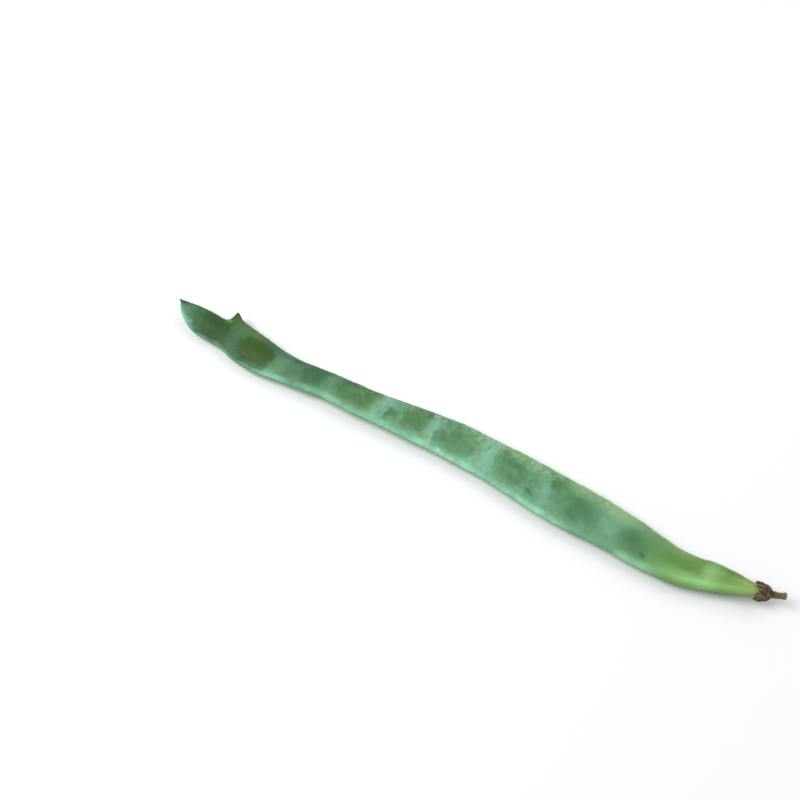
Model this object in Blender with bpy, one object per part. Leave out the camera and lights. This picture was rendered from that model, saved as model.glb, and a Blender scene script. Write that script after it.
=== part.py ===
"""A flat green bean, picked and laid on its broad side.

The pod grew as one piece: a long flat body with a seam along each narrow edge, raised over the seeds
inside it, drawn out to a dry beak at one end and to a round neck at the other. The calyx is the small dry
cup round the neck, in one piece with the stub of the stalk that the bean was picked by.

The pod runs along X with its beak at -X. It lies on z = 0, with the middle of its footprint at the origin.
"""

import bmesh
import bpy
import numpy as np
from mathutils import Vector

MM = 0.001

# The pod, in millimetres. Places along it are measured from the point of the beak.
POD_LENGTH = 235.0
BEAK_POINT_LENGTH = 1.8
BEAK_POINT_HALF_WIDTH = 0.8
BEAK_POINT_FINENESS = 0.25
BEAK_SWEEP = 17.0
BEAK_BLUNTNESS = 0.75
ROUNDED_END = 1.2
SECTION_SQUARENESS = 2.3

# Smooth curves along the pod, each through a few (place, value) points.
MIDLINE = (
    (0, -1.4), (8, -0.9), (14, -0.45), (22, -0.5), (27, 0.1), (33, -0.6), (42, -1.5), (56, -1.6), (72, 0.0),
    (88, 0.6), (104, 2.0), (124, 3.3), (140, 3.1), (164, 1.5), (184, 1.0), (200, -0.3), (209, -0.6),
    (219, 1.6), (227, 2.9), (235, 4.8),
)
HALF_WIDTH = (
    (0, 5.0), (12, 5.25), (22, 4.9), (27, 5.95), (33, 6.85), (40, 6.7), (56, 5.4), (88, 5.5), (104, 6.1),
    (120, 6.8), (142, 7.2), (160, 7.9), (184, 7.3), (200, 6.3), (212, 5.1), (219, 4.65), (225, 3.4),
    (231, 2.05), (235, 1.8),
)
HALF_THICKNESS = (
    (0, 0.3), (4, 1.0), (14, 2.0), (34, 2.6), (90, 2.8), (160, 2.9),
    (203, 2.8), (220, 2.6), (231, 1.9), (235, 1.75),
)
TWIST_DEGREES = (
    (0, 9), (24, 6), (45, 0), (65, -5), (88, -4), (120, 0), (160, 4), (198, 2), (235, 0),
)
HEIGHT = (
    (0, 4.4), (20, 3.3), (41, 2.85), (65, 3.35), (107, 3.3), (126, 3.05), (146, 3.3),
    (173, 3.35), (193, 3.05), (210, 3.2), (235, 4.4),
)

# The seams, with the small spur on the far one.
SEAM_RIDGE = 0.55
SEAM_RIDGE_HALF_HEIGHT = 0.9
SEAM_FURROW = 0.22
SEAM_FURROW_INSET = 2.1
SEAM_FURROW_HALF_WIDTH = 0.8
SPUR_PLACE = 24.12
SPUR_RISE = 4.5
SPUR_STEEP_SIDE = 0.6
SPUR_LONG_SIDE = 2.8
SPUR_LEAN = 0.12

# The seeds, of which only the bumps show.
SEED_PLACES = (19, 41, 65, 83, 107, 126, 146, 173, 193, 210, 226)
SEED_RISE = 0.75
SEED_HALF_LENGTH = 5.2
SEED_HALF_WIDTH = 4.4
SEED_OFFSET = 0.8
EDGE_SWELL = 0.22
RELIEF_FADE = 22.0
PRESSED_FLAT = 0.25

# The calyx and the stub of stalk, turned about the neck's own axis: (depth past the cup's rim, radius)
# from the middle of the cup's floor, out over the rim and back to the middle of the stalk's end.
NECK_IN_CUP = 2.5
CALYX_PROFILE = (
    (2.9, 0.0), (2.9, 1.5), (2.4, 2.2), (1.2, 2.45), (0.1, 2.65), (-0.15, 2.9), (0.3, 3.1), (1.6, 2.95),
    (3.0, 2.4), (3.8, 1.5), (4.6, 1.1), (6.0, 0.95), (7.4, 1.0), (7.9, 1.15), (8.2, 0.9), (8.3, 0.0),
)
LOBE_COUNT = 5
LOBE_LENGTH = 0.9
LOBE_REACH = 1.6
STALK_BEND = 1.0
STALK_BEND_START = 4.0

POD_COLOUR = (0.16, 0.30, 0.13)
POD_ROUGHNESS = 0.5
CALYX_COLOUR = (0.17, 0.10, 0.045)
CALYX_ROUGHNESS = 0.8

# How many rings and sides each piece's skin has, and how far the pod's rings crowd towards its two ends.
POD_STATIONS = 150
POD_SIDES = 32
CALYX_STATIONS = 44
CALYX_SIDES = 30
END_CROWDING = 0.7


def curve_through(points, place):
    """Smooth curve through (place, value) points: cubic pieces that share the slope at each point."""
    places, values = np.array(points, float).T
    slopes = np.gradient(values, places)
    piece = np.clip(np.searchsorted(places, place) - 1, 0, len(places) - 2)
    span = places[piece + 1] - places[piece]
    u = np.clip((place - places[piece]) / span, 0, 1)
    start = values[piece] * (1 + 2 * u) * (1 - u) ** 2 + span * slopes[piece] * u * (1 - u) ** 2
    end = values[piece + 1] * u**2 * (3 - 2 * u) - span * slopes[piece + 1] * u**2 * (1 - u)
    return start + end


def bell(distance, half_width):
    return np.exp(-((distance / half_width) ** 2))


def rounded(distance, length):
    """Rises from 0 to 1 over a length as a quarter of an ellipse does."""
    u = np.clip(distance / length, 0, 1)
    return np.sqrt(1 - (1 - u) ** 2)


def oval(unit):
    """Squares up a cosine or sine, so that the section is fuller than an ellipse."""
    return np.sign(unit) * np.abs(unit) ** (2 / SECTION_SQUARENESS)


def seed_swell(along):
    """1 over the middle of each seed and 0 between seeds."""
    return sum(bell(along - place, SEED_HALF_LENGTH) for place in SEED_PLACES)


def pod_surface(along, angle):
    """Point of the pod's skin for a place along it and an angle round it, 0 at the far seam.

    The section is a flattened oval with a ridge at each seam, a furrow beside each ridge, and a bump on
    both faces over each seed. Both ends close as round caps. The beak narrows onto the far seam, and the
    section turns with the twist about the midline.
    """
    beak = np.clip((along - BEAK_POINT_LENGTH) / BEAK_SWEEP, 0, 1)
    beak = (1 - (1 - beak) ** 2) ** BEAK_BLUNTNESS
    relief = beak * rounded(POD_LENGTH - along, RELIEF_FADE) ** 2
    full = curve_through(HALF_WIDTH, along) + EDGE_SWELL * seed_swell(along) * relief
    narrowest = BEAK_POINT_HALF_WIDTH * np.clip(along / BEAK_POINT_LENGTH, BEAK_POINT_FINENESS, 1)
    half_width = narrowest + (full - narrowest) * beak
    across_share = oval(np.cos(angle))
    up_share = oval(np.sin(angle))
    across = half_width * across_share
    up = curve_through(HALF_THICKNESS, along) * up_share

    ridge = SEAM_RIDGE * np.abs(across_share)
    spur_side = np.where(along < SPUR_PLACE, SPUR_STEEP_SIDE, SPUR_LONG_SIDE)
    spur = SPUR_RISE / (1 + ((along - SPUR_PLACE) / spur_side) ** 2) * np.clip(across_share, 0, 1)
    at_seam = bell(up, SEAM_RIDGE_HALF_HEIGHT) * relief
    furrow = SEAM_FURROW * bell(
        half_width - np.abs(across) - SEAM_FURROW_INSET, SEAM_FURROW_HALF_WIDTH
    )
    bump = SEED_RISE * seed_swell(along) * bell(across - SEED_OFFSET, SEED_HALF_WIDTH)
    up = up + up_share * (bump - furrow) * relief
    across = across + (np.sign(across_share) * ridge + spur) * at_seam
    leant = along - SPUR_LEAN * spur * at_seam

    closing = rounded(along, ROUNDED_END) * rounded(POD_LENGTH - along, ROUNDED_END)
    across = full - half_width + across * closing
    up = up * closing
    twist = np.radians(curve_through(TWIST_DEGREES, along))
    y = curve_through(MIDLINE, along) + across * np.cos(twist) - up * np.sin(twist)
    z = curve_through(HEIGHT, along) + across * np.sin(twist) + up * np.cos(twist)
    return np.stack([leant, y, z], axis=-1)


def calyx_surface(run, angle):
    """Point of the calyx for a run of 0 to 1 along its profile and an angle round its axis.

    The axis is the calyx's own Z, from the middle of the cup's rim towards the stalk. The rim is drawn out
    into lobes, and the stalk bends upwards, towards the calyx's own Y.
    """
    knots = np.linspace(0, 1, len(CALYX_PROFILE))
    depths, radii = np.array(CALYX_PROFILE).T
    depth = curve_through(np.stack([knots, depths], axis=1), run)
    radius = np.maximum(curve_through(np.stack([knots, radii], axis=1), run), 0)
    lobe = LOBE_LENGTH * (0.5 + 0.5 * np.cos(LOBE_COUNT * angle))
    bend = STALK_BEND * np.clip((depth - STALK_BEND_START) / STALK_BEND_START, 0, None) ** 2
    depth = depth - lobe * bell(depth, LOBE_REACH)
    return np.stack([radius * np.cos(angle), radius * np.sin(angle) + bend, depth], axis=-1)


def midline_point(along):
    return Vector([along, curve_through(MIDLINE, along), curve_through(HEIGHT, along)])


def sphere_piece(name, stations, sides, colour, roughness):
    """A sphere in the bean's collection, with each vertex's share of the way from pole to pole and angle."""
    mesh = bpy.data.meshes.new(name)
    cage = bmesh.new()
    bmesh.ops.create_uvsphere(cage, u_segments=sides, v_segments=stations, radius=1)
    unit = np.array([vertex.co for vertex in cage.verts])
    cage.to_mesh(mesh)
    cage.free()
    mesh.shade_smooth()
    material = bpy.data.materials.new(name)
    material.use_nodes = True
    shader = material.node_tree.nodes["Principled BSDF"]
    shader.inputs["Base Color"].default_value = (*colour, 1)
    shader.inputs["Roughness"].default_value = roughness
    mesh.materials.append(material)
    piece = bpy.data.objects.new(name, mesh)
    bean.objects.link(piece)
    share = np.arccos(np.clip(unit[:, 2], -1, 1)) / np.pi
    return piece, share, -np.arctan2(unit[:, 1], unit[:, 0])


def place_points(piece, points):
    piece.data.vertices.foreach_set("co", (points * MM).ravel())
    piece.data.update()


for leftover in list(bpy.data.objects):
    bpy.data.objects.remove(leftover, do_unlink=True)
bean = bpy.data.collections.new("green_bean")
bpy.context.scene.collection.children.link(bean)

pod, pod_share, pod_angle = sphere_piece("pod", POD_STATIONS, POD_SIDES, POD_COLOUR, POD_ROUGHNESS)
crowded = (1 - np.cos(np.pi * pod_share)) / 2
pod_along = POD_LENGTH * (pod_share + END_CROWDING * (crowded - pod_share))
pod_points = pod_surface(pod_along, pod_angle)

calyx, calyx_share, calyx_angle = sphere_piece(
    "calyx", CALYX_STATIONS, CALYX_SIDES, CALYX_COLOUR, CALYX_ROUGHNESS
)
calyx_points = calyx_surface(calyx_share, calyx_angle)
rim = midline_point(POD_LENGTH - NECK_IN_CUP)
neck_turn = (midline_point(POD_LENGTH) - rim).to_track_quat("Z", "Y")
calyx_reach = calyx_points @ np.array(neck_turn.to_matrix()).T + np.array(rim)

# The lowest bumps are pressed flat where the bean lies, and the footprint is centred on the origin.
both = np.concatenate([pod_points, calyx_reach])
middle = (both.min(axis=0) + both.max(axis=0)) / 2
floor = pod_points[:, 2].min() + PRESSED_FLAT
set_down = Vector([middle[0], middle[1], floor])
pod_points[:, 2] = np.maximum(pod_points[:, 2], floor)
place_points(pod, pod_points)
pod.location = -set_down * MM

place_points(calyx, calyx_points)
calyx.rotation_mode = "QUATERNION"
calyx.rotation_quaternion = neck_turn
calyx.location = (rim - set_down) * MM
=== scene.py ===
"""The looks of a flat green bean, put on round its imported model.

A piece's sizes are in millimetres, and its mesh is turned into metres as it is made.
"""

from math import cos, radians, sin

import bpy
import numpy as np
from mathutils import Euler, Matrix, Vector


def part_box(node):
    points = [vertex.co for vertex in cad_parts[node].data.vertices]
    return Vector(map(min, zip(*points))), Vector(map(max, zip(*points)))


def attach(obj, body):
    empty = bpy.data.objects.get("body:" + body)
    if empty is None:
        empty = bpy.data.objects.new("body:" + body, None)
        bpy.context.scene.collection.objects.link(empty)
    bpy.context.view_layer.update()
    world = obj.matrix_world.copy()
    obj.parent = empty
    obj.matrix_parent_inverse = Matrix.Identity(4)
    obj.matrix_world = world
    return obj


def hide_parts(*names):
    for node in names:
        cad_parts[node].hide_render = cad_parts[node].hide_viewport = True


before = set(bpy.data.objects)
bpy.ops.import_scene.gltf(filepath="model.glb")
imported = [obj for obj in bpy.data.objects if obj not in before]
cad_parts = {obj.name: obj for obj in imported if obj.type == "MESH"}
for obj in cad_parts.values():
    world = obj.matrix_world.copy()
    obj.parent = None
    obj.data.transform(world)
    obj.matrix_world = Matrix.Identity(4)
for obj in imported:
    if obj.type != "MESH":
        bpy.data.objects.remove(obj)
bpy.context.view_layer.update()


# ------------------------------------------------------------------------------------------------------
# Where the bean lies: a plain pale table top in the soft light of a window, seen from the bean's near
# side and from above. None of this is part of the bean, and its sizes are in metres.

VIEW_AZIMUTH = radians(30)
VIEW_ELEVATION = radians(62)
VIEW_DISTANCE = 0.327
VIEW_LENS = 42
VIEW_NEAREST = 0.01
PANNED_LEFT = radians(3.6)
TILTED_UP = radians(2.7)
MIDDLE_OF_BEAN = Vector([0.005, 0.002, 0.0035])

# The lights: name, place, width and power.
LIGHTS = (
    ("window_light", (-0.6, -0.25, 0.8), 0.7, 8.5),
    ("room_light", (0.45, 0.6, 0.7), 0.9, 4.0),
)
SKY_WHITE = (0.93, 0.97, 1.0)
SKY_STRENGTH = 0.45
TABLE_WIDTH = 4.0
TABLE_DROP = 0.00002
TABLE_WHITE = (0.86, 0.86, 0.85)
TABLE_ROUGHNESS = 0.8


def facing_bean(thing, spot, turned_up=0.0, turned_left=0.0):
    """Puts a camera or a light in its spot, facing the middle of the bean or turned a little off it."""
    bpy.context.scene.collection.objects.link(thing)
    thing.location = spot
    straight = (Vector(spot) - MIDDLE_OF_BEAN).to_track_quat("Z", "Y")
    thing.rotation_euler = (straight @ Euler((turned_up, turned_left, 0)).to_quaternion()).to_euler()


to_camera = Vector([
    cos(VIEW_ELEVATION) * sin(VIEW_AZIMUTH),
    -cos(VIEW_ELEVATION) * cos(VIEW_AZIMUTH),
    sin(VIEW_ELEVATION),
])
camera = bpy.data.objects.new("camera", bpy.data.cameras.new("camera"))
camera.data.lens = VIEW_LENS
camera.data.clip_start = VIEW_NEAREST
facing_bean(camera, MIDDLE_OF_BEAN + VIEW_DISTANCE * to_camera, TILTED_UP, PANNED_LEFT)
bpy.context.scene.camera = camera
bpy.context.scene.view_settings.view_transform = "Standard"

for name, spot, width, power in LIGHTS:
    light = bpy.data.objects.new(name, bpy.data.lights.new(name, "AREA"))
    light.data.shape = "DISK"
    light.data.size = width
    light.data.energy = power
    facing_bean(light, spot)

sky = bpy.data.worlds.new("sky")
sky.use_nodes = True
background = sky.node_tree.nodes["Background"]
background.inputs["Color"].default_value = (*SKY_WHITE, 1)
background.inputs["Strength"].default_value = SKY_STRENGTH
bpy.context.scene.world = sky

edge = TABLE_WIDTH / 2
corners = [(-edge, -edge), (edge, -edge), (edge, edge), (-edge, edge)]
table_top = bpy.data.meshes.new("table_top")
table_top.from_pydata([(x, y, -TABLE_DROP) for x, y in corners], [], [(0, 1, 2, 3)])
table_white = bpy.data.materials.new("table_white")
table_white.use_nodes = True
table_shader = table_white.node_tree.nodes["Principled BSDF"]
table_shader.inputs["Base Color"].default_value = (*TABLE_WHITE, 1)
table_shader.inputs["Roughness"].default_value = TABLE_ROUGHNESS
table_top.materials.append(table_white)
table = bpy.data.objects.new("table", table_top)
bpy.context.scene.collection.objects.link(table)


# ------------------------------------------------------------------------------------------------------
# The pod: one fleshy skin closed over the seeds, satin and a little bloomy. A seam runs along each narrow
# edge. Over each seed the skin stands up and is darker, and it is paler and bluer between the seeds.

MM = 0.001
TINY = 1e-12
POD_LENGTH = 235.0
SECTION_SQUARENESS = 2.3
ROUNDED_END = 1.2

# The beak: how long and how blunt its narrowing is, and the point that it narrows to. Only a share of the
# point's half width is left at its very tip.
BEAK_SWEEP = 17.0
BEAK_BLUNTNESS = 0.75
BEAK_POINT_LENGTH = 1.8
BEAK_POINT_HALF_WIDTH = 0.8
BEAK_POINT_FINENESS = 0.25

# Smooth curves along the pod, each through a few (place, value) points. The midline's offset is towards
# the far seam, and the twist lifts that seam. The lowest bumps are pressed flat on the table.
MIDLINE = (
    (0, -1.4), (8, -0.9), (14, -0.45), (22, -0.5), (27, 0.1), (33, -0.6), (42, -1.5), (56, -1.6),
    (72, 0.0), (88, 0.6), (104, 2.0), (124, 3.3), (140, 3.1), (164, 1.5), (184, 1.0), (200, -0.3),
    (209, -0.6), (219, 1.6), (227, 2.9), (235, 4.8),
)
HALF_WIDTH = (
    (0, 5.0), (12, 5.25), (22, 4.9), (27, 5.95), (33, 6.85), (40, 6.7), (56, 5.4), (88, 5.5), (104, 6.1),
    (120, 6.8), (142, 7.2), (160, 7.9), (184, 7.3), (200, 6.3), (212, 5.1), (219, 4.65), (225, 3.4),
    (231, 2.05), (235, 1.8),
)
HALF_THICKNESS = (
    (0, 0.3), (4, 1.0), (14, 2.0), (34, 2.6), (90, 2.8), (160, 2.9),
    (203, 2.8), (220, 2.6), (231, 1.9), (235, 1.75),
)
TWIST_DEGREES = (
    (0, 9), (24, 6), (45, 0), (65, -5), (88, -4), (120, 0), (160, 4), (198, 2), (235, 0),
)
HEIGHT = (
    (0, 4.4), (20, 3.3), (41, 2.85), (65, 3.35), (107, 3.3), (126, 3.05), (146, 3.3),
    (173, 3.35), (193, 3.05), (210, 3.2), (235, 4.4),
)
PRESSED_FLAT = 0.25

# The seams: a ridge with a groove along its crest, a furrow beside it, and a small spur on the far one,
# which leans towards the beak by a share of its rise.
SEAM_RIDGE = 0.55
SEAM_RIDGE_HALF_HEIGHT = 0.9
SEAM_GROOVE = 0.30
SEAM_GROOVE_HALF_HEIGHT = 0.26
SEAM_FURROW = 0.22
SEAM_FURROW_INSET = 2.1
SEAM_FURROW_HALF_WIDTH = 0.8
SPUR_PLACE = 24.12
SPUR_RISE = 4.5
SPUR_STEEP_SIDE = 0.6
SPUR_LONG_SIDE = 2.8
SPUR_LEAN = 0.12

# The bumps over the seeds, how much wider the pod is at each, and the length of neck over which the bumps,
# the furrows and the ridges fade.
SEED_RISE = 0.75
SEED_HALF_LENGTH = 5.2
SEED_HALF_WIDTH = 4.4
SEED_OFFSET = 0.8
EDGE_SWELL = 0.22
RELIEF_FADE = 22.0

# The seeds, and the skin's dark patches over and round them: middle along the pod, half length, middle
# towards the far seam, half width, how soft the edge is, how dark it is and how olive it is.
SEED_PLACES = (19, 41, 65, 83, 107, 126, 146, 173, 193, 210, 226)
PATCHES = (
    (14.0, 5.0, 0.6, 4.6, 0.45, 0.45, 0.15),
    (21.2, 5.8, 1.0, 5.4, 0.08, 0.68, 0.35),
    (20.0, 5.6, -3.2, 2.4, 0.35, 0.35, 0.0),
    (24.4, 2.4, 7.4, 4.0, 0.35, 0.35, 1.0),
    (27.8, 3.4, 6.0, 1.6, 0.35, 0.1, 0.5),
    (28.5, 3.0, -3.6, 2.6, 0.35, 0.35, 0.0),
    (41.3, 7.0, -0.3, 4.5, 0.08, 0.8, 0.8),
    (38.0, 5.0, -3.0, 3.2, 0.16, 0.45, 0.35),
    (60.0, 4.6, -0.6, 4.0, 0.30, 0.30, 0.1),
    (67.0, 3.8, 0.0, 4.4, 0.20, 0.8, 0.1),
    (84.2, 8.1, 0.6, 4.8, 0.10, 0.6, 0.45),
    (95.8, 2.0, -3.0, 2.4, 0.35, 0.25, 0.0),
    (99.1, 2.5, -1.5, 1.9, 0.22, 0.7, 0.0),
    (103.6, 1.8, 0.6, 4.0, 0.40, 0.3, 0.1),
    (108.4, 4.3, 0.9, 5.2, 0.09, 0.38, 0.40),
    (107.0, 2.8, 0.9, 4.6, 0.30, 0.15, 0.1),
    (119.2, 2.4, -1.0, 3.0, 0.25, 0.22, 0.0),
    (126.0, 7.2, -0.2, 5.2, 0.14, 0.42, 0.38),
    (146.4, 5.6, 0.2, 5.6, 0.11, 0.55, 0.12),
    (156.0, 3.0, -1.6, 4.4, 0.40, 0.35, 0.0),
    (162.6, 2.8, 4.8, 2.6, 0.25, 0.9, 0.35),
    (168.0, 6.4, 0.4, 5.4, 0.20, 0.40, 0.1),
    (174.6, 5.6, -0.2, 4.6, 0.18, 0.45, 0.15),
    (185.5, 4.0, 1.0, 6.0, 0.40, 0.15, 0.1),
    (204.0, 8.0, 1.8, 4.4, 0.35, 0.35, 0.45),
    (208.4, 4.6, 2.0, 2.4, 0.35, 0.15, 0.6),
    (211.8, 2.8, 1.6, 2.2, 0.14, 0.1, 0.8),
    (225.0, 2.6, 1.8, 2.4, 0.25, 0.4, 0.8),
)

# The pale bluish skin between them: middle along the pod, half length and how pale it is. The bands slant
# by a share of the place across.
PALE_BANDS = (
    (25.5, 2.0, 0.25), (30.5, 2.4, 0.3), (52, 4.4, 1.0), (73.5, 2.4, 0.35), (94.8, 2.9, 0.85),
    (100, 2.2, 0.4), (115.0, 2.0, 0.75), (135.6, 3.8, 1.25), (151.8, 2.6, 0.3), (160.5, 3.0, 0.4),
    (184.0, 4.0, 0.35), (218.0, 2.6, 1.0),
)
BAND_SLANT = 0.12

# How far the edges of patches and marks wander, in long waves and in shorter ones, and how square a patch
# and a mark are, where 2 is an oval.
PATCH_WANDER = 0.4
WANDER_LENGTH = 7.0
WANDER_DETAIL = 0.5
WANDER_DETAIL_LENGTH = 2.2
PATCH_SQUARENESS = 4
MARK_SQUARENESS = 2
MARK_SOFTNESS = 0.3
FAR_OUTSIDE = 30

# Small marks: middle along the pod, middle towards the far seam, half length, half width, how far each is
# turned in degrees, and how dark it is, or how pale where that is below 0. The pale ones at 51.5 and 216.8
# along the near edge are painted highlights.
MARKS = (
    (9.8, -2.6, 0.5, 0.25, 50, -0.4),
    (12.2, -3.6, 0.45, 0.25, 30, -0.35),
    (23.2, 5.0, 1.3, 0.8, 0, -0.3),
    (24.4, 9.6, 1.6, 1.2, 0, 0.5),
    # painted highlight on the near edge
    (51.5, -5.7, 4.5, 0.9, 0, -0.45),
    (72.8, -1.4, 0.4, 1.2, 0, 0.5),
    (86.6, 1.2, 1.6, 0.3, -59, -0.3),
    (97.8, -1.9, 1.4, 1.0, 20, 0.45),
    (111.2, 4.0, 0.7, 1.1, -20, 0.7),
    (116.2, -3.0, 1.5, 0.4, -60, -0.6),
    (117.6, -1.2, 2.3, 0.45, 20, 0.55),
    (120.4, -2.6, 1.6, 1.0, 0, 0.35),
    (135.1, 2.6, 0.45, 0.9, 0, 0.6),
    (135.4, 1.0, 0.4, 0.35, 0, 0.7),
    (136.4, -0.6, 1.4, 0.35, -55, -0.4),
    (139.4, -6.2, 2.2, 0.5, 0, 0.5),
    (141.2, 3.7, 1.6, 1.2, 0, 0.45),
    (145.0, 2.4, 2.8, 0.8, -37, 0.5),
    (151.0, 4.6, 1.8, 0.45, -85, -0.5),
    (151.8, 0.2, 1.7, 0.8, -45, 0.25),
    (155.4, -3.7, 2.1, 0.7, -34, 1.0),
    (192.4, -0.8, 3.9, 3.4, 0, 1.0),
    (196.5, -3.6, 0.9, 0.7, 30, 1.0),
    # painted highlight on the near edge, towards the neck
    (216.8, -3.4, 1.6, 0.9, 0, -0.5),
)

# How the painted light changes along the pod, as smooth curves: the painted highlight on its near side and
# its near seam, the painted highlight and painted shadow on its far side, and how mottled its skin is.
NEAR_LIT = (
    (0, 0), (42, 0), (50, 0.55), (58, 0.25), (68, 0.5), (78, 0.4), (86, 0.35), (91, 0.55), (101, 0.35),
    (108, 0.3), (115, 0.45), (125, 0.3), (136, 0.45), (145, 0.25), (152, 0.2), (158, 0.05), (166, 0.15),
    (178, 0.05), (190, 0.1), (200, 0.35), (207, 0.45), (212, 0.8), (217, 0.75), (223, 0.45), (235, 0.3),
)
SEAM_LIT = (
    (0, 0.2), (30, 0.3), (42, 0.35), (50, 0.62), (60, 0.46), (72, 0.54), (90, 0.52), (100, 0.45),
    (116, 0.72), (132, 0.9), (139, 0.42), (150, 0.78), (164, 0.8), (172, 0.35), (184, 0.1),
    (187, 0.15), (191, 0.65), (198, 0.6), (205, 0), (235, 0),
)
FAR_LIT = (
    (0, 0), (23, 0), (28, 0.45), (37, 0.5), (44, 0.1), (50, 0), (108, 0), (120, 0.05), (127, 0.3),
    (138, 0.25), (144, 0.35), (152, 0.5), (157, 0.25), (163, 0.2), (171, 0.65), (178, 0.55), (184, 0.9),
    (190, 0.6), (197, 0.3), (212, 0.3), (217, 0), (235, 0),
)
FAR_DIM = (
    (0, 0), (24, 0), (36, 0), (40, 0.15), (47, 1.0), (76, 1.0), (88, 0.65), (105, 0.1), (112, 0.4),
    (119, 0.5), (125, 0), (188, 0), (200, 0.4), (210, 0.2), (216, 0.7), (221, 1.0), (235, 1.0),
)
MOTTLED = (
    (0, 0.5), (50, 0.5), (78, 0.8), (96, 1.0), (120, 1.2), (160, 1.1), (178, 0.8), (190, 0.4), (235, 0.4),
)

# How far across each side its painted light and shade reach, from 0 at the middle to 1 at the seam. At the
# neck the near side's reach shifts towards the middle, and its very edge gets less painted highlight.
NEAR_REACH = (0.40, 1.0)
NEAR_REACH_SHIFT = 0.30
NECK_START = (198, 208)
NECK_EDGE = (0.80, 1.0)
NECK_EDGE_LOSS = 0.8
FAR_REACH = (0.15, 0.9)
TIP_REACH = (0.3, 1.0)
TIP_FADE = (14, 5)

# How the mottling and the strokes grow towards the far seam: the least, how much more, and between which
# cosines of the angle from that seam.
MOTTLED_ACROSS = (0.75, 0.5, -0.2, 0.8)
STREAKED_ACROSS = (0.35, 0.9, 0.0, 0.9)

# The painted highlight, or gleam, of the near rim: from how far in to how far it fades, where along the
# pod it gets wider and by how much, how its edge wanders, and how uneven it is.
NEAR_RIM_FROM = 0.2
NEAR_RIM_TO = 1.0
NEAR_RIM_WIDER = ((0.6, 45, 60), (0.2, 115, 160))
NEAR_RIM_WANDER = 0.1
NEAR_RIM_WANDER_LENGTH = 5.0
GLEAM = 0.82
GLEAM_UNEVENNESS = 0.15
GLEAM_LENGTH = 4.0
GLEAM_STRETCH = (1.0, 0.3, 0.3)

# The far rim, painted shade towards the beak and a pale yellowish line further on: from how far in to how
# far it fades, how strong it is, how much of that it loses along the pod, and how much is lost round the
# spur.
FAR_RIM_FADE = (0.15, 0.8)
FAR_RIM_STRENGTH = 0.65
FAR_RIM_LOSS = 0.3
FAR_RIM_LOSS_SPAN = (95, 125)
FAR_RIM_SPUR_LOSS = 0.85
FAR_RIM_SPUR_HALF_LENGTH = 4.0

# The rest of the seams, with the painted shade in the groove along each crest, and the dry tip, which
# reaches further down the far side than the near one.
UNDER_SIDE_FADE = (-0.1, 0.9)
GROOVE_HALF_HEIGHT = 0.3
GROOVE_INSET = 1.0
DRY_TIP_FADE = (1.6, 2.8)
DRY_TIP_FURTHER = (1.2, 6.0)
DRY_TIP_TURN = (-0.4, 0.7)

# Fine relief: how deep it is, how long its waves are, and how they are drawn out and slant.
UNEVENNESS = 0.050
UNEVENNESS_LENGTH = 9.0
WRINKLES = 0.022
WRINKLE_LENGTH = 2.6
WRINKLE_STRETCH = (1.0, 0.35, 1.0)
WRINKLE_SLANT = (0.6, 0, 0)
CRINKLES = 0.030
CRINKLE_LENGTH = 1.6
CRINKLE_STRETCH = (1.0, 0.2, 0.2)
CRINKLE_NARROWNESS = 8
END_LINES = 0.045
END_LINE_COUNT = 22
END_LINE_WANDER = 2
END_LINE_WANDER_LENGTH = 12.0
BEAK_LINES_FADE = (-6, 8)
NECK_LINES_FADE = (205, 233)
RELIEF_AFTER_BEAK = (0.2, 3)
RELIEF_UP_TO_END = (POD_LENGTH - 1.5, POD_LENGTH - 0.1)

POD_STATIONS = 600
POD_SIDES = 160
SEAM_CROWDING = 0.5
END_CROWDING = 0.45


def curve_through(points, place):
    """Smooth curve through (place, value) points: cubic pieces that share the slope at each point."""
    places, values = np.array(points, float).T
    slopes = np.gradient(values, places)
    piece = np.clip(np.searchsorted(places, place) - 1, 0, len(places) - 2)
    span = places[piece + 1] - places[piece]
    u = np.clip((place - places[piece]) / span, 0, 1)
    start = values[piece] * (1 + 2 * u) * (1 - u) ** 2 + span * slopes[piece] * u * (1 - u) ** 2
    end = values[piece + 1] * u**2 * (3 - 2 * u) - span * slopes[piece + 1] * u**2 * (1 - u)
    return start + end


def bell(distance, half_width):
    return np.exp(-((distance / half_width) ** 2))


def step(value, start, end):
    """Rises smoothly from 0 at start to 1 at end."""
    u = np.clip((value - start) / (end - start), 0, 1)
    return u * u * (3 - 2 * u)


def rounded(distance, length):
    """Rises from 0 to 1 over a length as a quarter of an ellipse does."""
    u = np.clip(distance / length, 0, 1)
    return np.sqrt(1 - (1 - u) ** 2)


def ripples(place, length, seed, waves=28):
    """Smooth random relief about 0: plane waves near one length, in random directions and phases."""
    draw = np.random.default_rng(seed)
    direction = draw.normal(size=(3, waves))
    direction /= np.linalg.norm(direction, axis=0)
    pitch = 2 * np.pi / (length * draw.uniform(0.6, 1.6, waves))
    phase = draw.uniform(0, 2 * np.pi, waves)
    return np.sin(place @ (direction * pitch) + phase).sum(axis=-1) * np.sqrt(2 / waves)


def seed_swell(along):
    """1 over the middle of each seed and 0 between seeds."""
    return sum(bell(along - place, SEED_HALF_LENGTH) for place in SEED_PLACES)


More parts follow.
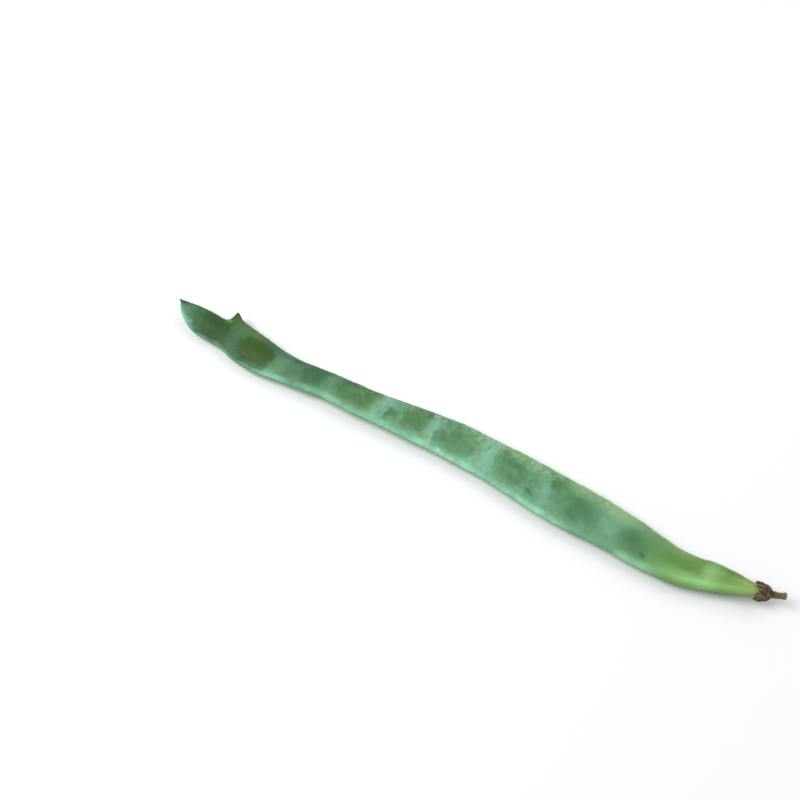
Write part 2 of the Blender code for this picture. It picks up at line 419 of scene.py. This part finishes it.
def pod_form(along, angle):
    """The pod's skin without its fine relief, for a place along it and an angle from the far seam.

    Gives the point, the same place on the pod as if it were straight (along, across and up), and how far
    in from the seam it lies. The section is a flattened oval, with a ridge at each seam, a furrow beside
    it and a bump over each seed.
    """
    beak = np.clip((along - BEAK_POINT_LENGTH) / BEAK_SWEEP, 0, 1)
    beak = (1 - (1 - beak) ** 2) ** BEAK_BLUNTNESS
    relief = beak * rounded(POD_LENGTH - along, RELIEF_FADE) ** 2
    full = curve_through(HALF_WIDTH, along) + EDGE_SWELL * seed_swell(along) * relief
    narrowest = BEAK_POINT_HALF_WIDTH * np.clip(along / BEAK_POINT_LENGTH, BEAK_POINT_FINENESS, 1)
    half_width = narrowest + (full - narrowest) * beak
    unit = np.stack([np.cos(angle), np.sin(angle)])
    across_share, up_share = np.sign(unit) * np.abs(unit) ** (2 / SECTION_SQUARENESS)
    across = half_width * across_share
    up = curve_through(HALF_THICKNESS, along) * up_share
    inset = half_width - np.abs(across)

    ridge = SEAM_RIDGE * bell(up, SEAM_RIDGE_HALF_HEIGHT)
    ridge = ridge - SEAM_GROOVE * bell(up, SEAM_GROOVE_HALF_HEIGHT)
    spur_side = np.where(along < SPUR_PLACE, SPUR_STEEP_SIDE, SPUR_LONG_SIDE)
    spur = SPUR_RISE / (1 + ((along - SPUR_PLACE) / spur_side) ** 2) * np.clip(across_share, 0, 1)
    spur = spur * bell(up, SEAM_RIDGE_HALF_HEIGHT) * relief
    furrow = SEAM_FURROW * bell(inset - SEAM_FURROW_INSET, SEAM_FURROW_HALF_WIDTH)
    bump = SEED_RISE * seed_swell(along) * bell(across - SEED_OFFSET, SEED_HALF_WIDTH)
    across = across + across_share * ridge * relief + spur
    up = up + up_share * (bump - furrow) * relief

    closing = rounded(along, ROUNDED_END) * rounded(POD_LENGTH - along, ROUNDED_END)
    across = full - half_width + across * closing
    up = up * closing
    twist = np.radians(curve_through(TWIST_DEGREES, along))
    y = curve_through(MIDLINE, along) + across * np.cos(twist) - up * np.sin(twist)
    z = curve_through(HEIGHT, along) + across * np.sin(twist) + up * np.cos(twist)
    point = np.stack([along - SPUR_LEAN * spur, y, z], axis=-1)
    return point, np.stack([along, across, up], axis=-1), inset


def outwards(points):
    """Unit normals of a grid of points, stations by sides, that is closed round its sides."""
    along = np.gradient(points, axis=0)
    round_it = np.roll(points, -1, axis=1) - np.roll(points, 1, axis=1)
    normal = np.cross(round_it, along)
    return normal / np.maximum(np.linalg.norm(normal, axis=-1, keepdims=True), TINY)


def capped_tube(name, points):
    """A mesh on a grid of points, stations by sides, closed round its sides and at both ends."""
    stations, sides = points.shape[:2]
    ring = np.arange(stations * sides).reshape(stations, sides)
    after = np.roll(ring, -1, axis=1)
    walls = np.stack([ring[:-1], ring[1:], after[1:], after[:-1]], axis=-1).reshape(-1, 4)
    tips = points[[0, -1]].mean(axis=1)
    first, last = stations * sides, stations * sides + 1
    caps = [(first, a, b) for a, b in zip(ring[0], after[0])]
    caps += [(last, b, a) for a, b in zip(ring[-1], after[-1])]
    mesh = bpy.data.meshes.new(name)
    mesh.from_pydata(np.concatenate([points.reshape(-1, 3), tips]) * MM, [], walls.tolist() + caps)
    mesh.shade_smooth()
    piece = bpy.data.objects.new(name, mesh)
    bpy.context.scene.collection.objects.link(piece)
    return piece


def keep_on(piece, name, values):
    """Stores one number or one vector for each point of a capped tube, for its material to read."""
    flat = values.reshape(-1, values.shape[2]) if values.ndim == 3 else values.reshape(-1, 1)
    sides = values.shape[1]
    flat = np.concatenate([flat, [flat[:sides].mean(axis=0)], [flat[-sides:].mean(axis=0)]])
    kind, field = ("FLOAT_VECTOR", "vector") if values.ndim == 3 else ("FLOAT", "value")
    stored = piece.data.attributes.new(name, kind, "POINT")
    stored.data.foreach_set(field, flat.astype(np.float32).ravel())


station = np.linspace(0, 1, POD_STATIONS + 2)[1:-1]
crowded = (1 - np.cos(np.pi * station)) / 2
pod_along = POD_LENGTH * (station + END_CROWDING * (crowded - station))
side_turn = 2 * np.pi * np.arange(POD_SIDES) / POD_SIDES
pod_angle = side_turn - SEAM_CROWDING * np.sin(2 * side_turn) / 2
pod_along, pod_angle = np.meshgrid(pod_along, pod_angle, indexing="ij")
pod_points, pod_place, pod_inset = pod_form(pod_along, pod_angle)
pod_across = pod_place[..., 1]
pod_up = pod_place[..., 2]

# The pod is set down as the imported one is: on its flattened lowest bumps, with the beak at the same end.
pod_low, pod_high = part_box("pod")
middle_of_pod = (pod_points[..., 1].min() + pod_points[..., 1].max()) / 2
packed_middle = (pod_low.y + pod_high.y) / 2 / MM
lowest = pod_points[..., 2].min() + PRESSED_FLAT
set_down = np.array([-pod_low.x / MM, middle_of_pod - packed_middle, lowest])
pod_points = pod_points - set_down

# The fine relief outwards: slow unevenness, slanting wrinkles, crinkled seams and lines that gather
# towards both ends.
at_seam = np.abs(np.cos(pod_angle)) ** CRINKLE_NARROWNESS
near_ends = 1 - step(pod_along, *BEAK_LINES_FADE) * (1 - step(pod_along, *NECK_LINES_FADE))
slanted = pod_place * WRINKLE_STRETCH + pod_across[..., None] * WRINKLE_SLANT
end_line_wander = END_LINE_WANDER * ripples(pod_place, END_LINE_WANDER_LENGTH, seed=4)
pod_relief = (
    UNEVENNESS * ripples(pod_place, UNEVENNESS_LENGTH, seed=1)
    + WRINKLES * ripples(slanted, WRINKLE_LENGTH, seed=2)
    + CRINKLES * ripples(pod_place * CRINKLE_STRETCH, CRINKLE_LENGTH, seed=3) * at_seam
    + END_LINES * near_ends * np.sin(END_LINE_COUNT * pod_angle + end_line_wander)
)
pod_closing = step(pod_along, *RELIEF_AFTER_BEAK) * (1 - step(pod_along, *RELIEF_UP_TO_END))
pod_points = pod_points + (pod_relief * pod_closing)[..., None] * outwards(pod_points)
pod_points[..., 2] = np.maximum(pod_points[..., 2], 0)
pod = capped_tube("green_pod", pod_points)


def wander(seed, detail_seed):
    """How far the skin's patches wander off their places, in long waves and in shorter ones."""
    detail = WANDER_DETAIL * ripples(pod_place, WANDER_DETAIL_LENGTH, detail_seed)
    return PATCH_WANDER * (ripples(pod_place, WANDER_LENGTH, seed) + detail)


wandered_along = pod_along + wander(seed=5, detail_seed=15)
wandered_across = pod_across + wander(seed=6, detail_seed=16)


def patch_over(middle, half_length, offset, half_width, softness, squareness, turned=0):
    """1 inside a rounded patch of the skin and 0 outside it. It can be turned, by some degrees."""
    along = wandered_along - middle
    across = wandered_across - offset
    out_along = np.abs(along * cos(radians(turned)) + across * sin(radians(turned))) / half_length
    out_across = np.abs(across * cos(radians(turned)) - along * sin(radians(turned))) / half_width
    out = (out_along**squareness + out_across**squareness) ** (1 / squareness)
    return 1 / (1 + np.exp(np.clip((out - 1) / softness, -FAR_OUTSIDE, FAR_OUTSIDE)))


def towards_far(least, more, start, end):
    """Grows from the near seam to the far one, between two cosines of the angle from the far seam."""
    return least + more * step(np.cos(pod_angle), start, end)


# What the skin's colours follow. First the patches, the marks with two painted highlights among the pale
# ones, and the pale bands between the seeds.
dark_patches = 0
olive_patches = 0
for middle, half_length, offset, half_width, softness, darkness, olive in PATCHES:
    patch = patch_over(middle, half_length, offset, half_width, softness, PATCH_SQUARENESS)
    dark_patches = dark_patches + darkness * patch
    olive_patches = olive_patches + olive * patch
dark_marks = 0
pale_marks_and_highlights = 0
for middle, offset, half_length, half_width, turned, darkness in MARKS:
    mark = patch_over(middle, half_length, offset, half_width, MARK_SOFTNESS, MARK_SQUARENESS, turned)
    dark_marks = dark_marks + max(darkness, 0) * mark
    pale_marks_and_highlights = pale_marks_and_highlights + max(-darkness, 0) * mark
pale_bands = 0
for middle, half_length, paleness in PALE_BANDS:
    band = bell(wandered_along - BAND_SLANT * pod_across - middle, half_length)
    pale_bands = pale_bands + paleness * band

# Then the painted light and shade of either side and of the beak's tip, and the dry tip.
far_side = np.cos(pod_angle) > 0
side_share = np.abs(np.cos(pod_angle)) ** (2 / SECTION_SQUARENESS)
at_neck = step(pod_along, *NECK_START)
near_from, near_to = (reach - NEAR_REACH_SHIFT * at_neck for reach in NEAR_REACH)
near_share = step(side_share, near_from, near_to) * ~far_side
neck_edge = 1 - NECK_EDGE_LOSS * step(side_share, *NECK_EDGE) * at_neck
far_share = step(side_share, *FAR_REACH) * far_side
tip_lit = step(side_share, *TIP_REACH) * ~far_side * step(pod_along, *TIP_FADE)
dry_further = towards_far(0, 1, *DRY_TIP_TURN)
dry_from, dry_to = (end + more * dry_further for end, more in zip(DRY_TIP_FADE, DRY_TIP_FURTHER))
dry_tip = 1 - step(pod_along, dry_from, dry_to)

# Last the near rim's painted highlight, the far rim, the painted shade in the groove along each seam's
# crest and the side below the crests.
below_crest = step(-pod_up, *UNDER_SIDE_FADE)
# The near rim's painted highlight.
rim_to = NEAR_RIM_TO
for more, start, end in NEAR_RIM_WIDER:
    rim_to = rim_to + more * step(pod_along, start, end)
rim_wander = NEAR_RIM_WANDER * ripples(pod_place, NEAR_RIM_WANDER_LENGTH, seed=7)
near_rim = (1 - step(pod_inset + rim_wander, NEAR_RIM_FROM, rim_to)) * ~far_side * (1 - below_crest)
gleam = GLEAM + GLEAM_UNEVENNESS * ripples(pod_place * GLEAM_STRETCH, GLEAM_LENGTH, seed=8)
# Along the far rim: painted shade towards the beak, a pale yellowish line further on.
far_rim = (1 - step(pod_inset, *FAR_RIM_FADE)) * far_side
far_rim = far_rim * (FAR_RIM_STRENGTH - FAR_RIM_LOSS * step(pod_along, *FAR_RIM_LOSS_SPAN))
far_rim = far_rim * (1 - FAR_RIM_SPUR_LOSS * bell(pod_along - SPUR_PLACE, FAR_RIM_SPUR_HALF_LENGTH))
# The painted shade in the groove along each seam's crest.
groove = bell(pod_up, GROOVE_HALF_HEIGHT) * (pod_inset < GROOVE_INSET)

keep_on(pod, "place", pod_place)
keep_on(pod, "mottled", curve_through(MOTTLED, pod_along) * towards_far(*MOTTLED_ACROSS))
keep_on(pod, "streaked", curve_through(MOTTLED, pod_along) * towards_far(*STREAKED_ACROSS))
for name, share in (
    ("dark_patches", dark_patches),
    ("olive_patches", olive_patches),
    ("dark_marks", dark_marks),
    ("pale_marks_and_highlights", pale_marks_and_highlights),
    ("pale_bands", pale_bands),
    ("near_lit", near_share * neck_edge * curve_through(NEAR_LIT, pod_along)),
    ("far_lit", far_share * curve_through(FAR_LIT, pod_along)),
    ("far_dim", far_share * curve_through(FAR_DIM, pod_along)),
    ("tip_lit", tip_lit),
    ("dry_tip", dry_tip),
    ("seam_lit", near_rim * gleam * curve_through(SEAM_LIT, pod_along)),
    ("far_rim", far_rim),
    ("groove", groove),
    ("under_side", below_crest),
):
    keep_on(pod, name, np.clip(share, 0, 1))


def srgb(red, green, blue):
    """A colour written as on a screen, from 0 to 255, in the linear light that a shader works in."""
    share = np.array([red, green, blue]) / 255
    return tuple(np.where(share <= 0.04045, share / 12.92, ((share + 0.055) / 1.055) ** 2.4))


class Finish:
    """A material, and the few kinds of node that this bean's skins are mixed from."""

    def __init__(self, name, colour):
        self.material = bpy.data.materials.new(name)
        self.material.use_nodes = True
        self.tree = self.material.node_tree
        self.shader = self.tree.nodes["Principled BSDF"]
        self.colour = colour

    def node(self, kind, *values, **settings):
        """A node with its inputs set in order, from a number, a colour or another node's output."""
        made = self.tree.nodes.new(kind)
        for key, value in settings.items():
            setattr(made, key, value)
        for socket, value in zip([s for s in made.inputs if s.enabled], values):
            self.join(value, socket)
        return made

    def join(self, value, socket):
        """Links another node's output to a socket, or sets the socket to a number or a colour."""
        if isinstance(value, bpy.types.NodeSocket):
            self.tree.links.new(value, socket)
        elif isinstance(value, tuple) and socket.type == "RGBA":
            socket.default_value = (*value, 1)
        else:
            socket.default_value = value

    def kept(self, name):
        """What keep_on stored under a name."""
        attribute = self.node("ShaderNodeAttribute", attribute_name=name)
        return attribute.outputs["Vector" if name == "place" else "Fac"]

    def maths(self, operation, *values):
        return self.node("ShaderNodeMath", *values, operation=operation).outputs[0]

    def times(self, value, factor):
        return self.maths("MULTIPLY", value, factor)

    def centred(self, noise):
        return self.maths("SUBTRACT", noise, 0.5)

    def weighted(self, *terms):
        """The sum of some values, each times its own weight."""
        (value, weight), *others = terms
        total = self.times(value, weight)
        for value, weight in others:
            total = self.maths("ADD", total, self.times(value, weight))
        return total

    def between(self, value, low, high, out_low=0.0, out_high=1.0):
        """The value's share of the way from low to high, eased and kept within the two ends."""
        ranged = self.node(
            "ShaderNodeMapRange", value, low, high, out_low, out_high, interpolation_type="SMOOTHSTEP"
        )
        return ranged.outputs[0]

    def blend(self, share, under, over, how="MIX"):
        mixed = self.node("ShaderNodeMix", data_type="RGBA", blend_type=how)
        for socket, value in (("Factor_Float", share), ("A_Color", under), ("B_Color", over)):
            self.join(value, next(s for s in mixed.inputs if s.identifier == socket))
        return next(s for s in mixed.outputs if s.identifier == "Result_Color")

    def lay(self, share, tint, how="MIX"):
        """Lays a tint over the colour as it is so far."""
        self.colour = self.blend(share, self.colour, tint, how)

    def grain(self, place, size, detail=2.0, stretch=(1, 1, 1), turned=0):
        """Noise with spots about one size across, in the place's own units.

        It can be drawn out by a stretch, and turned by some degrees about the way up.
        """
        scale = tuple(1 / (size * s) for s in stretch)
        mapped = self.node("ShaderNodeMapping", place, (0, 0, 0), (0, 0, radians(turned)), scale)
        noise = self.node("ShaderNodeTexNoise", noise_dimensions="3D")
        self.join(mapped.outputs[0], noise.inputs["Vector"])
        noise.inputs["Scale"].default_value = 1.0
        noise.inputs["Detail"].default_value = detail
        return noise.outputs[0]

    def bump(self, height, strength, depth):
        """Relief too fine for the mesh, from a height and how many metres deep that is."""
        bumps = self.node("ShaderNodeBump")
        bumps.inputs["Strength"].default_value = strength
        bumps.inputs["Distance"].default_value = depth
        self.join(height, bumps.inputs["Height"])
        self.join(bumps.outputs[0], self.shader.inputs["Normal"])


POD_GREEN = srgb(90, 141, 104)
POD_BLOOM = srgb(122, 171, 143)
SEED_GREEN = srgb(70, 116, 78)
SEED_OLIVE = srgb(80, 115, 48)
BEAK_SHADE = (0.42, 0.45, 0.32)
FAR_SHADE = (0.66, 0.68, 0.78)
TIP_HIGHLIGHT_MINT = srgb(126, 196, 174)
NECK_GREEN = srgb(108, 146, 64)
NECK_HIGHLIGHT_MINT = srgb(152, 202, 126)
NECK_PALE = srgb(148, 192, 124)
NECK_YELLOW = srgb(156, 176, 94)
NECK_BUFF = srgb(188, 182, 132)
NEAR_HIGHLIGHT_MINT = srgb(128, 190, 150)
NEAR_RIM_HIGHLIGHT_MINT = srgb(154, 218, 180)
FAR_HIGHLIGHT_YELLOW = srgb(142, 174, 118)
FAR_RIM_SHADE = srgb(62, 98, 72)
FAR_RIM_YELLOW = srgb(152, 184, 126)
GROOVE_SHADE_GREEN = srgb(80, 132, 84)
UNDER_GREEN = srgb(84, 134, 90)
DRY_TIP = srgb(48, 70, 56)
MARK_GREEN = srgb(56, 92, 62)
SPECK_BROWN = srgb(84, 84, 50)
PALE_STROKE_AND_HIGHLIGHT = srgb(150, 204, 166)
BARE_OLIVE = srgb(122, 144, 92)

# The skin's noises: size of the spots, detail, and for some the stretch and the turn.
SKIN_NOISES = {
    "cloud": (7.0, 3.0),
    "mottle": (1.3, 3.0),
    "fleck": (0.4, 1.0),
    "blotch": (2.6, 2.0),
    "bare": (5.0, 2.0),
    "speck": (1.1, 1.0),
    "pore": (0.9, 2.0),
    "stroke": (1.9, 1.0, (0.7, 1.4, 1.0), -20),
    "scratch": (0.9, 1.0, (0.55, 2.2, 1.0), -24),
    "scratched": (4.0, 1.0),
}

# Where the tints come in, along the pod or up a noise's range: from and to, and for some the share at
# either end.
BLOOM_RANGE = (0.1, 0.95)
PATCH_RANGE = (0.05, 0.95, 0.0, 0.9)
OLIVE_RANGE = (0.0, 1.0, 0.0, 0.85)
NECK_SPAN = (176.0, 216.0, 0.0, 0.85)
NECK_PALE_SPAN = (208.0, 214.0, 0.0, 0.5)
NECK_YELLOW_SPAN = (221.0, 229.0, 0.0, 0.6)
NECK_BUFF_SPAN = (230.5, 233.5, 0.0, 0.6)
NECK_HIGHLIGHT_SPAN = (196.0, 208.0)
BARE_RANGE = (0.46, 0.70, 0.0, 0.40)
BARE_FROM_SPAN = (55.0, 80.0)
BARE_TO_SPAN = (190.0, 130.0)
BEAK_SHADE_SPAN = (110.0, 30.0)
BEAK_TIP_SPAN = (3.0, 12.0, 0.3, 1.0)
FAR_RIM_SPAN = (88.0, 125.0)
SCRATCHED_RANGE = (0.48, 0.62)
SCRATCHED_BY_MOTTLING = (0.6, 1.5, 0.0, 0.55)
PALE_SCRATCH_RANGE = (0.60, 0.74)
DARK_SCRATCH_RANGE = (0.38, 0.28)
SPECK_RANGE = (0.72, 0.80, 0.0, 0.6)
ROUGHNESS_RANGE = (0.3, 0.7, 0.48, 0.62)

# How much goes into the bloom, into the patches and into the fine shading, and how strong a tint can get.
BLOOM_OF_BANDS = 0.62
BLOOM_OF_CLOUD = 0.7
BLOOM_OF_PATCHES = -0.3
BLOOM_OF_STREAKS = 0.5
PATCHES_OF_BLOTCH = 0.9
PATCHES_OF_STREAKS = -0.5
SHADE_OF_FLECK = 0.4
SHADE_OF_MOTTLE = 0.6
SHADE_OF_STREAKS = 0.35
MARK_STRENGTH = 0.7
UNDER_SIDE_STRENGTH = 0.8
GROOVE_SHADE_STRENGTH = 0.6
DRY_TIP_STRENGTH = 0.9
PORES_OF_FLECK = 0.4
PORE_STRENGTH = 0.5
PORE_DEPTH = 0.00006

skin = Finish("pod_skin", POD_GREEN)
place = skin.kept("place")
along = skin.node("ShaderNodeSeparateXYZ", place).outputs[0]
dark = skin.kept("dark_patches")
banded = skin.kept("pale_bands")
mottled = skin.kept("mottled")
noise = {name: skin.grain(place, *settings) for name, settings in SKIN_NOISES.items()}
streaks = skin.times(skin.centred(noise["stroke"]), skin.kept("streaked"))

# From the pale bloom between the seeds, through the patches over them, to the tints of both ends, with the
# painted highlights and painted shadow of the sides and of the beak's tip laid in among them.
bloom = skin.weighted(
    (banded, BLOOM_OF_BANDS),
    (noise["cloud"], BLOOM_OF_CLOUD),
    (dark, BLOOM_OF_PATCHES),
    (streaks, BLOOM_OF_STREAKS),
)
skin.lay(skin.between(bloom, *BLOOM_RANGE), POD_BLOOM)
blotches = skin.times(skin.times(skin.centred(noise["blotch"]), PATCHES_OF_BLOTCH), mottled)
patchy = skin.maths("ADD", blotches, skin.times(streaks, PATCHES_OF_STREAKS))
skin.lay(skin.between(skin.maths("ADD", dark, patchy), *PATCH_RANGE), SEED_GREEN)
skin.lay(skin.between(skin.kept("olive_patches"), *OLIVE_RANGE), SEED_OLIVE)
off_patches = skin.maths("SUBTRACT", 1.0, dark)
skin.lay(skin.times(skin.between(along, *NECK_SPAN), off_patches), NECK_GREEN)
skin.lay(skin.times(banded, skin.between(along, *NECK_PALE_SPAN)), NECK_PALE)
skin.lay(skin.between(along, *NECK_YELLOW_SPAN), NECK_YELLOW)
skin.lay(skin.between(along, *NECK_BUFF_SPAN), NECK_BUFF)
bare = skin.times(skin.between(noise["bare"], *BARE_RANGE), skin.between(along, *BARE_FROM_SPAN))
skin.lay(skin.times(bare, skin.between(along, *BARE_TO_SPAN)), BARE_OLIVE)
# Painted highlight on the far side, then painted shadow darkening that side.
skin.lay(skin.kept("far_lit"), FAR_HIGHLIGHT_YELLOW)
skin.lay(skin.kept("far_dim"), FAR_SHADE, "MULTIPLY")
skin.lay(skin.times(skin.kept("dark_marks"), MARK_STRENGTH), MARK_GREEN)
# Painted highlight on the near side, in a mint that turns yellow-green towards the neck.
near_highlight = skin.blend(skin.between(along, *NECK_HIGHLIGHT_SPAN), NEAR_HIGHLIGHT_MINT, NECK_HIGHLIGHT_MINT)
skin.lay(skin.kept("near_lit"), near_highlight)
beak_shaded = skin.times(skin.between(along, *BEAK_SHADE_SPAN), skin.between(along, *BEAK_TIP_SPAN))
skin.lay(beak_shaded, BEAK_SHADE, "MULTIPLY")
# Painted highlight on the near edge of the beak's tip.
skin.lay(skin.kept("tip_lit"), TIP_HIGHLIGHT_MINT)

# The pale strokes across the pod with two painted highlights among them, the fine scratches here and
# there, the side below the seams, the painted highlight of the near rim, the far rim, and the painted
# shade in the groove along each seam.
# Pale strokes, and two painted highlights on the near edge.
skin.lay(skin.kept("pale_marks_and_highlights"), PALE_STROKE_AND_HIGHLIGHT)
scratched = skin.between(noise["scratched"], *SCRATCHED_RANGE)
scratched = skin.times(scratched, skin.between(mottled, *SCRATCHED_BY_MOTTLING))
skin.lay(skin.times(scratched, skin.between(noise["scratch"], *PALE_SCRATCH_RANGE)), PALE_STROKE_AND_HIGHLIGHT)
skin.lay(skin.times(scratched, skin.between(noise["scratch"], *DARK_SCRATCH_RANGE)), MARK_GREEN)
skin.lay(skin.times(skin.kept("under_side"), UNDER_SIDE_STRENGTH), UNDER_GREEN)
# Painted highlight along the near rim.
skin.lay(skin.kept("seam_lit"), NEAR_RIM_HIGHLIGHT_MINT)
# Along the far rim: painted shade towards the beak, turning into a pale yellowish line further on.
far_rim_colour = skin.blend(skin.between(along, *FAR_RIM_SPAN), FAR_RIM_SHADE, FAR_RIM_YELLOW)
skin.lay(skin.kept("far_rim"), far_rim_colour)
# Painted shade in the groove along each seam's crest.
skin.lay(skin.times(skin.kept("groove"), GROOVE_SHADE_STRENGTH), GROOVE_SHADE_GREEN)

# Brown specks, the fine mottling and the dry tip of the beak.
skin.lay(skin.between(noise["speck"], *SPECK_RANGE), SPECK_BROWN)
fine = skin.weighted((noise["fleck"], SHADE_OF_FLECK), (noise["mottle"], SHADE_OF_MOTTLE))
shade = skin.times(skin.centred(fine), mottled)
shade = skin.maths("ADD", shade, skin.times(streaks, SHADE_OF_STREAKS))
shade = skin.maths("ADD", shade, 1.0)
skin.lay(1.0, skin.node("ShaderNodeCombineXYZ", shade, shade, shade).outputs[0], "MULTIPLY")
skin.lay(skin.times(skin.kept("dry_tip"), DRY_TIP_STRENGTH), DRY_TIP)
skin.join(skin.colour, skin.shader.inputs["Base Color"])
skin.join(skin.between(noise["mottle"], *ROUGHNESS_RANGE), skin.shader.inputs["Roughness"])
skin.shader.inputs["Specular IOR Level"].default_value = 0.22
skin.shader.inputs["Subsurface Weight"].default_value = 0.12
skin.shader.inputs["Subsurface Radius"].default_value = (0.6, 1.0, 0.4)
skin.shader.inputs["Subsurface Scale"].default_value = MM
pores = skin.maths("ADD", skin.times(noise["fleck"], PORES_OF_FLECK), noise["pore"])
skin.bump(pores, PORE_STRENGTH, PORE_DEPTH)

pod.data.materials.append(skin.material)
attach(pod, "root")
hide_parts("pod")


# ------------------------------------------------------------------------------------------------------
# The calyx: the flower's dried cup that still grips the pod's neck, brown and papery, with torn lobes. It
# grew in one piece with the stalk, which was snapped off a few millimetres past it.

NECK_IN_CUP = 2.5
CALYX_PROFILE = (
    (2.9, 0.0), (2.9, 1.5), (2.4, 2.2), (1.2, 2.45), (0.1, 2.65), (-0.15, 2.9), (0.3, 3.1), (1.6, 2.95),
    (3.0, 2.4), (3.8, 1.5), (4.6, 1.1), (6.0, 0.95), (7.4, 1.0), (7.9, 1.15), (8.2, 0.9), (8.3, 0.0),
)
LOBE_COUNT = 5
LOBE_LENGTH = 0.9
LOBE_REACH = 1.6
STALK_BEND = 1.0
STALK_BEND_START = 4.0
CALYX_STATIONS = 260
CALYX_SIDES = 150

# The relief of the cup's outer side and of the stalk: where on the profile it begins, the ribs, and how
# deep and long the crumples and fibres are. They are laid out on a tube of one radius.
OUTER_SIDE = (0.30, 0.42)
CUP_RADIUS = 2.5
RIB_PAIRS = 5
RIB_DEPTH = 0.16
RIB_HALF_WIDTH = 0.45
RIB_WANDER = 0.6
RIB_WANDER_LENGTH = 3.0
CRUMPLES = 0.07
CRUMPLE_LENGTH = 1.3
FIBRES = 0.05
FIBRE_LENGTH = 0.6
FIBRE_STRETCH = (0.3, 1, 1)


def calyx_form(run, angle):
    """Point of the calyx for a run of 0 to 1 along its profile and an angle round the neck's axis.

    The profile goes from the middle of the cup's floor out over the rim and back to the stalk's end. The
    rim is drawn out into lobes, and the stalk bends upwards. Also gives the depth before the lobes.
    """
    knots = np.linspace(0, 1, len(CALYX_PROFILE))
    depths, radii = np.array(CALYX_PROFILE).T
    depth = curve_through(np.stack([knots, depths], axis=1), run)
    radius = np.maximum(curve_through(np.stack([knots, radii], axis=1), run), 0)
    lobe = LOBE_LENGTH * (0.5 + 0.5 * np.cos(LOBE_COUNT * angle))
    bend = STALK_BEND * np.clip((depth - STALK_BEND_START) / STALK_BEND_START, 0, None) ** 2
    lobed = depth - lobe * bell(depth, LOBE_REACH)

    ends = np.array([POD_LENGTH - NECK_IN_CUP, POD_LENGTH])
    line = np.stack([ends, curve_through(MIDLINE, ends), curve_through(HEIGHT, ends)], axis=1)
    axis = (line[1] - line[0]) / np.linalg.norm(line[1] - line[0])
    side = np.cross([0, 0, 1], axis)
    side = side / np.linalg.norm(side)
    over = np.cross(axis, side)
    sideways = radius * np.cos(angle)
    over_axis = radius * np.sin(angle) + bend
    points = line[0] + lobed[..., None] * axis + sideways[..., None] * side + over_axis[..., None] * over
    return points, depth


calyx_run, calyx_angle = np.meshgrid(
    np.linspace(0, 1, CALYX_STATIONS + 2)[1:-1],
    2 * np.pi * np.arange(CALYX_SIDES) / CALYX_SIDES,
    indexing="ij",
)
calyx_points, calyx_depth = calyx_form(calyx_run, calyx_angle)
calyx_points = calyx_points - set_down
calyx_place = np.stack(
    [calyx_depth, CUP_RADIUS * np.cos(calyx_angle), CUP_RADIUS * np.sin(calyx_angle)], axis=-1
)
rib_wander = RIB_WANDER * ripples(calyx_place, RIB_WANDER_LENGTH, seed=21)
ribs = np.abs(np.sin(RIB_PAIRS * calyx_angle + rib_wander))
calyx_relief = step(calyx_run, *OUTER_SIDE) * (
    -RIB_DEPTH * bell(ribs, RIB_HALF_WIDTH)
    + CRUMPLES * ripples(calyx_place, CRUMPLE_LENGTH, seed=22)
    + FIBRES * ripples(calyx_place * FIBRE_STRETCH, FIBRE_LENGTH, seed=23)
)
calyx_points = calyx_points + calyx_relief[..., None] * outwards(calyx_points)
calyx = capped_tube("dry_calyx", calyx_points)
keep_on(calyx, "place", calyx_place)
keep_on(calyx, "run", calyx_run)

CUP_BROWN = srgb(104, 78, 46)
CUP_DARK = srgb(52, 38, 24)
CUP_BUFF = srgb(176, 156, 112)
STALK_OLIVE = srgb(118, 112, 62)
BROKEN_PALE = srgb(206, 190, 150)

# The calyx's noises: size of the spots, detail, and for one the stretch. Then where its tints come in, up
# a noise's range or along the profile: from and to, and for some the share at either end.
HUSK_BLOTCHES = (1.6, 3.0)
HUSK_FIBRES = (0.5, 4.0, (3.0, 1, 1))
BROWN_RANGE = (0.35, 0.65)
BUFF_RANGE = (0.50, 0.72, 0.0, 0.6)
STALK_SPAN = (0.62, 0.80, 0.0, 0.6)
BROKEN_END_SPAN = (0.945, 0.965, 0.0, 0.9)
HUSK_ROUGHNESS = 0.78
CREASE_STRENGTH = 0.6
CREASE_DEPTH = 0.0001

husk = Finish("dry_calyx", CUP_DARK)
profile_share = husk.kept("run")
husk_place = husk.kept("place")
fibres = husk.grain(husk_place, *HUSK_FIBRES)
husk.lay(husk.between(husk.grain(husk_place, *HUSK_BLOTCHES), *BROWN_RANGE), CUP_BROWN)
husk.lay(husk.between(fibres, *BUFF_RANGE), CUP_BUFF)
husk.lay(husk.between(profile_share, *STALK_SPAN), STALK_OLIVE)
husk.lay(husk.between(profile_share, *BROKEN_END_SPAN), BROKEN_PALE)
husk.join(husk.colour, husk.shader.inputs["Base Color"])
husk.shader.inputs["Roughness"].default_value = HUSK_ROUGHNESS
husk.bump(fibres, CREASE_STRENGTH, CREASE_DEPTH)

calyx.data.materials.append(husk.material)
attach(calyx, "root")
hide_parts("calyx")
